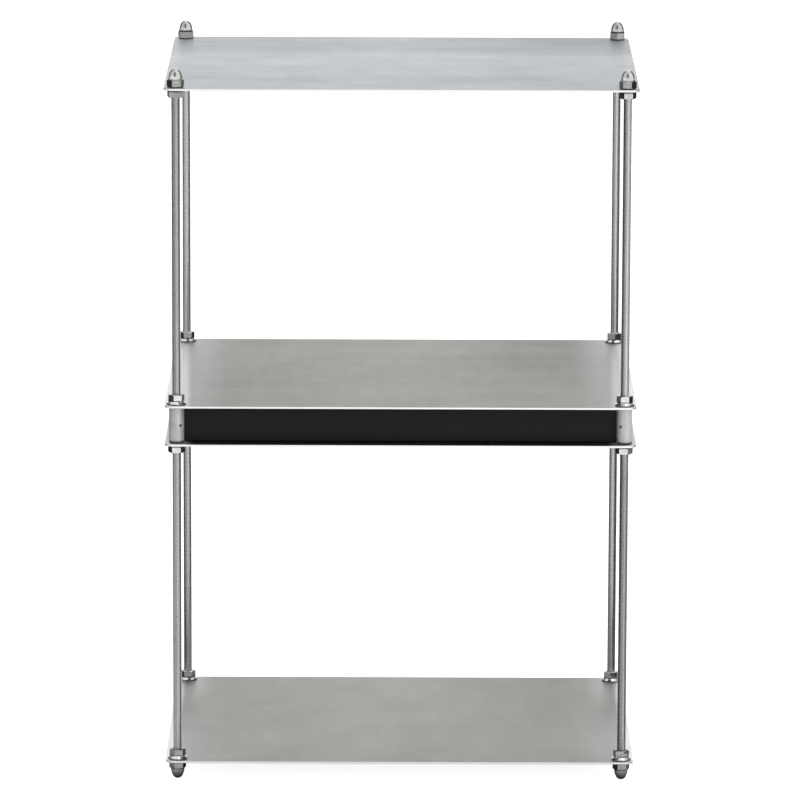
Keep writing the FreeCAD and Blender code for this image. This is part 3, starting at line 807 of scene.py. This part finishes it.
# Grime and painted contact shade at the seams of the nuts.
cap_dome_seam = grime_and_shade_line(tree, spot, top_plate[1].z + 1.02 * cap_hex_height, 0.0014)
grime_and_shade = multiply(tree, cap_dome_seam, at_back)
for seam_height, reach in seams.values():
    grime_and_shade = calculate(tree, "MAXIMUM", grime_and_shade, grime_and_shade_line(tree, spot, seam_height, reach))
colour = mix_colours(tree, multiply(tree, grime_and_shade, 0.9), colour, grime_and_shade_colour)
gloss = rescale(tree, calculate(tree, "ADD", patches, rings), 0.0, 2.0, 0.08, 0.18)
gloss = calculate(tree, "ADD", gloss, multiply(tree, on_foot, 0.12))
connect(tree, shader, {"Base Color": colour, "Metallic": 1.0, "Roughness": gloss})
connect(tree, shader, {"Normal": relief(tree, rings, 0.00001, 0.5)})
kinds = [
    "cap_nut",
    "top_hex_nut",
    "middle_flange_nut",
    "deck_hex_nut",
    "bottom_flange_nut",
    "foot_nut",
]
dress(material, *[f"{kind}_{corner}" for kind in kinds for corner in corners])

# %% [markdown]
# ## Drawn tubes and grub screws
# The spacers are cut from drawn aluminium tube, duller than the plates, with draw lines along
# their length. The right-hand ones carry a painted highlight on their outer side, the left-hand
# ones a painted highlight in a line on their inner side. Small blackened grub screws lock them.

# %% Drawn tubes
tube_highlight_colour = (0.96, 0.96, 0.95, 1.0)
material, tree, shader, place = start_material("tube_aluminium")
spot = place["Object"]
lines = streaky(tree, spot, (0.0007, 0.0007, 0.05))
patches = cloudy(tree, spot, 0.012, 0.25)
colour = mix_colours(tree, patches, (0.62, 0.62, 0.61, 1.0), (0.46, 0.46, 0.44, 1.0))
colour = mix_colours(tree, multiply(tree, lines, 0.25), colour, black)
tube_low, tube_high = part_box("spacer_tube_front_right")
tube_x = (tube_low.x + tube_high.x) / 2.0
across = separate(tree, spot)["X"]
on_left = rescale(tree, across, -0.01, 0.01, 1.0, 0.0)
# Painted highlight: outer side of the right-hand tubes, a line inside the left-hand ones.
outer_side = rescale(tree, across, tube_x, tube_x + 0.008, 0.0, 0.6)
inner_line = rescale(tree, across, 0.007 - tube_x, 0.0115 - tube_x, 0.0, 0.8)
rubbing_and_highlight = calculate(tree, "MAXIMUM", outer_side, multiply(tree, inner_line, on_left))
colour = mix_colours(tree, rubbing_and_highlight, colour, tube_highlight_colour)
# Grime and painted contact shade at both ends of the tubes.
low_end = grime_and_shade_line(tree, spot, deck_plate[1].z, 0.004)
high_end = grime_and_shade_line(tree, spot, middle_plate[0].z, 0.0016)
grime_and_shade = multiply(tree, calculate(tree, "MAXIMUM", low_end, high_end), 0.95)
colour = mix_colours(tree, grime_and_shade, colour, grime_and_shade_colour)
gloss = rescale(tree, calculate(tree, "ADD", patches, lines), 0.0, 2.0, 0.42, 0.6)
connect(tree, shader, {"Base Color": colour, "Metallic": 0.6, "Roughness": gloss})
connect(tree, shader, {"Normal": relief(tree, lines, 0.00003, 0.5)})
dress(material, *["spacer_tube_" + corner for corner in corners])

# %% Grub screws
material, tree, shader, place = start_material("dark_screw_steel")
patches = cloudy(tree, place["Object"], 0.002, 0.2)
colour = mix_colours(tree, patches, (0.12, 0.12, 0.122, 1.0), (0.2, 0.2, 0.19, 1.0))
gloss = spread_share(tree, patches, 0.35, 0.5)
connect(tree, shader, {"Base Color": colour, "Metallic": 1.0, "Roughness": gloss})
dress(material, *["tube_grub_screw_" + corner for corner in corners])

# %% [markdown]
# ## Black lacquer
# The drawer is thin board under a satin black lacquer. Sprayed lacquer is never quite flat: its
# skin is faintly dimpled, which shows only in the gloss.


# %% Black lacquer
def dimpled(tree, spot, per_metre):
    inputs = {"Vector": spot, "Scale": per_metre, "Detail": 1.0}
    return add_node(tree, "ShaderNodeTexNoise", inputs=inputs).outputs[0]


material, tree, shader, place = start_material("black_lacquered_board")
spot = place["Object"]
patches = cloudy(tree, spot, 0.12, 0.25)
dimples = dimpled(tree, spot, 450.0)
colour = mix_colours(tree, patches, (0.0085, 0.0085, 0.008, 1.0), (0.011, 0.011, 0.0105, 1.0))
gloss = spread_share(tree, patches, 0.4, 0.48)
connect(tree, shader, {"Base Color": colour, "Roughness": gloss})
skin = relief(tree, dimples, 0.00004, 0.4)
connect(tree, shader, {"Specular IOR Level": 0.12, "Normal": skin})
dress(material, "drawer_front", "drawer_back", "drawer_bottom")
dress(material, "drawer_side_left", "drawer_side_right")

# %% [markdown]
# ## Small fixings inside the drawer bay
# Dowels, screws, stops and glides hardly show until the drawer is pulled out, but each has its
# own material: turned beech, zinc-plated steel, moulded nylon, a slippery white strip with
# sliding marks, and a fine powder coat.

# %% Dowels and screws
material, tree, shader, place = start_material("beech_dowel")
grain = streaky(tree, place["Object"], (0.0006, 0.02, 0.0006))
colour = mix_colours(tree, grain, (0.62, 0.44, 0.27, 1.0), (0.48, 0.31, 0.17, 1.0))
skin = relief(tree, grain, 0.00005, 0.5)
connect(tree, shader, {"Base Color": colour, "Roughness": 0.6, "Normal": skin})
dress(material, "drawer_dowels")

material, tree, shader, place = start_material("small_fixing_steel")
patches = cloudy(tree, place["Object"], 0.003, 0.2)
colour = mix_colours(tree, patches, (0.6, 0.6, 0.59, 1.0), (0.48, 0.48, 0.47, 1.0))
gloss = spread_share(tree, patches, 0.2, 0.35)
connect(tree, shader, {"Base Color": colour, "Metallic": 1.0, "Roughness": gloss})
dress(material, "drawer_back_screws", "stop_block_screws", "guide_rail_screws")
dress(material, "guide_rail_nuts", "stop_pin_left", "stop_pin_right")

# %% Stops, glides and rails
material, tree, shader, place = start_material("black_nylon")
pores = dimpled(tree, place["Object"], 1800.0)
colour = mix_colours(tree, pores, (0.014, 0.014, 0.014, 1.0), (0.024, 0.024, 0.023, 1.0))
skin = relief(tree, pores, 0.00005, 0.5)
connect(tree, shader, {"Base Color": colour, "Roughness": 0.55, "Normal": skin})
dress(material, "stop_block_left", "stop_block_right")

material, tree, shader, place = start_material("glide_plastic")
rubbing_and_highlight = streaky(tree, place["Object"], (0.0008, 0.12, 0.0008))
colour = mix_colours(tree, rubbing_and_highlight, (0.76, 0.76, 0.73, 1.0), (0.62, 0.61, 0.57, 1.0))
gloss = spread_share(tree, rubbing_and_highlight, 0.3, 0.5)
connect(tree, shader, {"Base Color": colour, "Roughness": gloss})
dress(material, "glide_strip_left", "glide_strip_right")

material, tree, shader, place = start_material("black_coated_steel")
grains = dimpled(tree, place["Object"], 1200.0)
colour = mix_colours(tree, grains, (0.02, 0.02, 0.02, 1.0), (0.032, 0.032, 0.031, 1.0))
skin = relief(tree, grains, 0.00006, 0.5)
connect(tree, shader, {"Base Color": colour, "Roughness": 0.5, "Normal": skin})
dress(material, "guide_rail_left", "guide_rail_right")

# %% [markdown]
# ## Threaded rods
# The rods are threaded over their whole length, which is what lets every shelf be clamped at any
# height. A thread is one ridge that winds round the bar. It could be made by sweeping a small
# profile along a helix, but the swept ridge would only lie on a core and cross itself. Here the
# surface itself is wound: a flat grid is rolled up into a tube, and each of its rows climbs by
# one pitch per turn, so its last column meets its first column one turn further on. Four rows
# make one pitch: two at the crest and two at the root. The ends are cut off square and chamfered.

# %% Thread sizes
thread_crest = 0.00598
thread_root = 0.00492
thread_pitch = 0.00175
thread_sides = 18
rows_per_turn = 4
row_offsets = [0.0, 0.125, 0.479, 0.646]
spare_turns = 3.0
turns_below = 2.0
chamfer = 0.0003
merge_distance = 0.000004
crease_angle = math.radians(35.0)
rod_starts = {"front_left": 0.0, "front_right": 0.37, "back_left": 0.61, "back_right": 0.83}
print("thread depth", round(1000.0 * (thread_crest - thread_root), 2), "mm")


# %% Helpers for geometry trees
def whole_part(tree, number, divisor):
    """How often a divisor goes into a whole number. The half keeps rounding errors out."""
    share = calculate(tree, "DIVIDE", calculate(tree, "ADD", number, 0.5), divisor)
    return calculate(tree, "FLOOR", share)


def start_geometry(name, inputs):
    tree = bpy.data.node_groups.new(name, "GeometryNodeTree")
    tree.interface.new_socket("Geometry", in_out="OUTPUT", socket_type="NodeSocketGeometry")
    tree.interface.new_socket("Geometry", in_out="INPUT", socket_type="NodeSocketGeometry")
    for socket, kind in inputs:
        tree.interface.new_socket(socket, in_out="INPUT", socket_type=kind)
    made = tree.nodes.new("NodeGroupOutput").inputs["Geometry"]
    return tree, tree.nodes.new("NodeGroupInput").outputs, made


def grow(name, tree, values):
    """Runs a geometry tree on an empty mesh and returns the result as a plain piece."""
    seed = bpy.data.objects.new(name + "_seed", bpy.data.meshes.new(name + "_seed"))
    bpy.context.scene.collection.objects.link(seed)
    modifier = seed.modifiers.new("grow", "NODES")
    modifier.node_group = tree
    for item in tree.interface.items_tree:
        if item.item_type == "SOCKET" and item.in_out == "INPUT" and item.name in values:
            modifier[item.identifier] = values[item.name]
    graph = bpy.context.evaluated_depsgraph_get()
    mesh = bpy.data.meshes.new_from_object(seed.evaluated_get(graph))
    mesh.name = name
    seed.modifiers.remove(modifier)
    bpy.data.objects.remove(seed)
    piece = bpy.data.objects.new(name, mesh)
    bpy.context.scene.collection.objects.link(piece)
    mesh.calc_loop_triangles()
    print(name, len(mesh.loop_triangles), "triangles")
    return piece


print("geometry helpers ready")

# %% [markdown]
# The grid is as tall as the rod needs, with a few turns to spare. A point's index gives its
# column and its row, the row gives its turn and its step in the turn, and all of them together
# give its height.

# %% Thread tree, heights
inputs = [
    ("Crest Radius", "NodeSocketFloat"),
    ("Root Radius", "NodeSocketFloat"),
    ("Pitch", "NodeSocketFloat"),
    ("Sides", "NodeSocketInt"),
    ("Low End", "NodeSocketFloat"),
    ("High End", "NodeSocketFloat"),
    ("Start Turn", "NodeSocketFloat"),
    ("Axis Place", "NodeSocketVector"),
    ("Finish", "NodeSocketMaterial"),
]
tree, given, made = start_geometry("wound_thread", inputs)
low_end, high_end, pitch = given["Low End"], given["High End"], given["Pitch"]
steps = float(rows_per_turn)
length = calculate(tree, "SUBTRACT", high_end, low_end)
turns = calculate(tree, "CEIL", calculate(tree, "DIVIDE", length, pitch))
rows = multiply(tree, calculate(tree, "ADD", turns, spare_turns), steps)
columns = calculate(tree, "ADD", given["Sides"], 1.0)
grid = add_node(tree, "GeometryNodeMeshGrid", inputs={"Vertices X": columns, "Vertices Y": rows})
index = add_node(tree, "GeometryNodeInputIndex").outputs[0]
column = whole_part(tree, index, rows)
row = calculate(tree, "SUBTRACT", index, multiply(tree, column, rows))
turn_share = calculate(tree, "DIVIDE", column, given["Sides"])
turn = whole_part(tree, row, steps)
step = calculate(tree, "SUBTRACT", row, multiply(tree, turn, steps))
step = calculate(tree, "ROUND", step)
offset = add_node(tree, "GeometryNodeIndexSwitch", {"data_type": "FLOAT"})
while len(offset.index_switch_items) < rows_per_turn:
    offset.index_switch_items.new()
tree.links.new(step, offset.inputs["Index"])
for place_in_turn, value in enumerate(row_offsets):
    offset.inputs[1 + place_in_turn].default_value = value
climb = calculate(tree, "ADD", calculate(tree, "ADD", turn, offset.outputs[0]), turn_share)
climb = calculate(tree, "ADD", climb, given["Start Turn"])
climb = calculate(tree, "SUBTRACT", climb, turns_below)
height = calculate(tree, "MULTIPLY_ADD", climb, pitch, low_end)
height = calculate(tree, "MAXIMUM", height, low_end)
height = calculate(tree, "MINIMUM", height, high_end)
print("thread tree: heights ready")

# %% [markdown]
# The radius switches between crest and root by row, and the chamfer at both ends limits it. The
# first and the last row have no radius at all, which closes the ends. Rows that lie beyond an
# end fall onto its rim, and merging by distance joins them.

# %% Thread tree, radius
on_crest = calculate(tree, "LESS_THAN", step, 1.5)
depth = calculate(tree, "SUBTRACT", given["Crest Radius"], given["Root Radius"])
radius = calculate(tree, "MULTIPLY_ADD", on_crest, depth, given["Root Radius"])
above_low = calculate(tree, "SUBTRACT", height, low_end)
below_high = calculate(tree, "SUBTRACT", high_end, height)
from_end = calculate(tree, "MINIMUM", above_low, below_high)
rim = calculate(tree, "SUBTRACT", given["Root Radius"], chamfer)
radius = calculate(tree, "MINIMUM", radius, calculate(tree, "ADD", rim, from_end))
after_first = calculate(tree, "GREATER_THAN", row, 0.5)
before_last = calculate(tree, "LESS_THAN", row, calculate(tree, "SUBTRACT", rows, 1.5))
radius = multiply(tree, radius, multiply(tree, after_first, before_last))
print("thread tree: radius ready")

# %% [markdown]
# Each point goes to its place round the axis. Edges that fold by more than 35 degrees stay
# sharp, and all the others are shaded smooth.

# %% Thread tree, surface
angle = multiply(tree, turn_share, 2.0 * math.pi)
x = multiply(tree, radius, calculate(tree, "COSINE", angle))
y = multiply(tree, radius, calculate(tree, "SINE", angle))
point = add_node(tree, "ShaderNodeCombineXYZ", inputs={0: x, 1: y, 2: height}).outputs[0]
options, inputs = {"operation": "ADD"}, {0: point, 1: given["Axis Place"]}
point = add_node(tree, "ShaderNodeVectorMath", options, inputs).outputs[0]
inputs = {"Geometry": grid.outputs[0], "Position": point}
surface = add_node(tree, "GeometryNodeSetPosition", inputs=inputs).outputs[0]
inputs = {"Geometry": surface, "Distance": merge_distance}
surface = add_node(tree, "GeometryNodeMergeByDistance", inputs=inputs).outputs[0]
inputs = {"Geometry": surface, "Shade Smooth": True}
surface = add_node(tree, "GeometryNodeSetShadeSmooth", inputs=inputs).outputs[0]
fold = add_node(tree, "GeometryNodeInputMeshEdgeAngle").outputs[0]
creased = calculate(tree, "GREATER_THAN", fold, crease_angle)
inputs = {"Geometry": surface, "Selection": creased, "Shade Smooth": False}
surface = add_node(tree, "GeometryNodeSetShadeSmooth", {"domain": "EDGE"}, inputs).outputs[0]
inputs = {"Geometry": surface}
surface = add_node(tree, "GeometryNodeRealizeInstances", inputs=inputs).outputs[0]
inputs = {"Geometry": surface, "Material": given["Finish"]}
surface = add_node(tree, "GeometryNodeSetMaterial", inputs=inputs).outputs[0]
tree.links.new(surface, made)
thread_tree = tree
print("thread tree:", len(tree.nodes), "nodes")

# %% [markdown]
# The rods' steel is greyer than the nuts, because oil and dust stay in the thread. All four rods
# share one material: their places mirror each other, so the distance from the nearest rod's axis
# comes from the coordinates without their signs. The rods at the back are painted lighter, as
# painted light. In front the right-hand rod has painted shade on its left side, a painted
# highlight on its right side and painted shade below, and the lower half of the left-hand rod has
# a painted highlight on its left side.

# %% Rod steel
clean_steel, oily_steel = (0.73, 0.73, 0.72, 1.0), (0.65, 0.65, 0.64, 1.0)
painted_light_steel, groove_colour = (1.0, 1.0, 0.99, 1.0), (0.25, 0.25, 0.24, 1.0)
rod_low, rod_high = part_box("threaded_rod_back_right")
rod_x, rod_y = (rod_low.x + rod_high.x) / 2.0, (rod_low.y + rod_high.y) / 2.0
material, tree, shader, place = start_material("rod_steel")
spot = place["Object"]
flat = spot
for operation, other in (
    ("ABSOLUTE", (0.0, 0.0, 0.0)),
    ("SUBTRACT", (rod_x, rod_y, 0.0)),
    ("MULTIPLY", (1.0, 1.0, 0.0)),
):
    options = {"operation": operation}
    flat = add_node(tree, "ShaderNodeVectorMath", options, {0: flat, 1: other}).outputs[0]
options = {"operation": "LENGTH"}
distance = add_node(tree, "ShaderNodeVectorMath", options, {0: flat}).outputs[1]
groove = rescale(tree, distance, thread_root, thread_crest, 1.0, 0.0)
patches = cloudy(tree, spot, 0.12, 0.3)
axes = separate(tree, spot)
across = axes["X"]
at_back = towards_back(tree, axes)
in_front = opposite(tree, at_back)
on_right = rescale(tree, across, -0.01, 0.01)
above = rescale(tree, axes["Z"], 0.4, 0.5)
below = opposite(tree, above)
colour = mix_colours(tree, patches, clean_steel, oily_steel)
# Painted light: the rods at the back are lightened.
colour = mix_colours(tree, multiply(tree, at_back, 0.9), colour, painted_light_steel)
colour = mix_colours(tree, multiply(tree, groove, 0.35), colour, groove_colour)
print("rod steel: places ready")

# %% Painted highlights and shade on the rods
# Front right-hand rod: painted shade on its left side, painted highlight right, shade below.
painted_shade_left = rescale(tree, across, rod_x - 0.005, rod_x - 0.0015, 0.5, 0.0)
colour = mix_colours(tree, multiply(tree, painted_shade_left, in_front, on_right), colour, black)
rubbing_and_highlight = rescale(tree, across, rod_x, rod_x + 0.0025, 0.0, 0.8)
rubbing_and_highlight = multiply(tree, rubbing_and_highlight, in_front, spread_share(tree, above, 0.8, 1.0))
colour = mix_colours(tree, rubbing_and_highlight, colour, painted_light_steel)
colour = mix_colours(tree, multiply(tree, below, 0.25, in_front, on_right), colour, black)
# Painted highlight: the left side of the lower front left-hand rod.
low_left_highlight = rescale(tree, across, 0.001 - rod_x, -0.004 - rod_x, 0.0, 0.4)
colour = mix_colours(tree, multiply(tree, low_left_highlight, below, in_front), colour, painted_light_steel)
gloss = rescale(tree, calculate(tree, "ADD", groove, patches), 0.0, 2.0, 0.12, 0.26)
connect(tree, shader, {"Base Color": colour, "Metallic": 1.0, "Roughness": gloss})
rod_steel = material
print("rod steel ready")

# %% [markdown]
# Each rod is wound from the box of its solid and takes that solid's place. Every thread starts
# at another turn, because no two rods are cut alike.

# %% Wind the four rods
for corner in corners:
    node = "threaded_rod_" + corner
    low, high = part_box(node)
    axis_place = ((low.x + high.x) / 2.0, (low.y + high.y) / 2.0, 0.0)
    values = {
        "Crest Radius": thread_crest,
        "Root Radius": thread_root,
        "Pitch": thread_pitch,
        "Sides": thread_sides,
        "Low End": low.z,
        "High End": high.z,
        "Start Turn": rod_starts[corner],
        "Axis Place": axis_place,
        "Finish": rod_steel,
    }
    rod = grow("wound_rod_" + corner, thread_tree, values)
    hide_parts(node)
    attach(rod, "frame")

# %% [markdown]
# At the end the colours are shown as they are written, through the standard view transform.

# %% Finish
bpy.context.scene.view_settings.view_transform = "Standard"
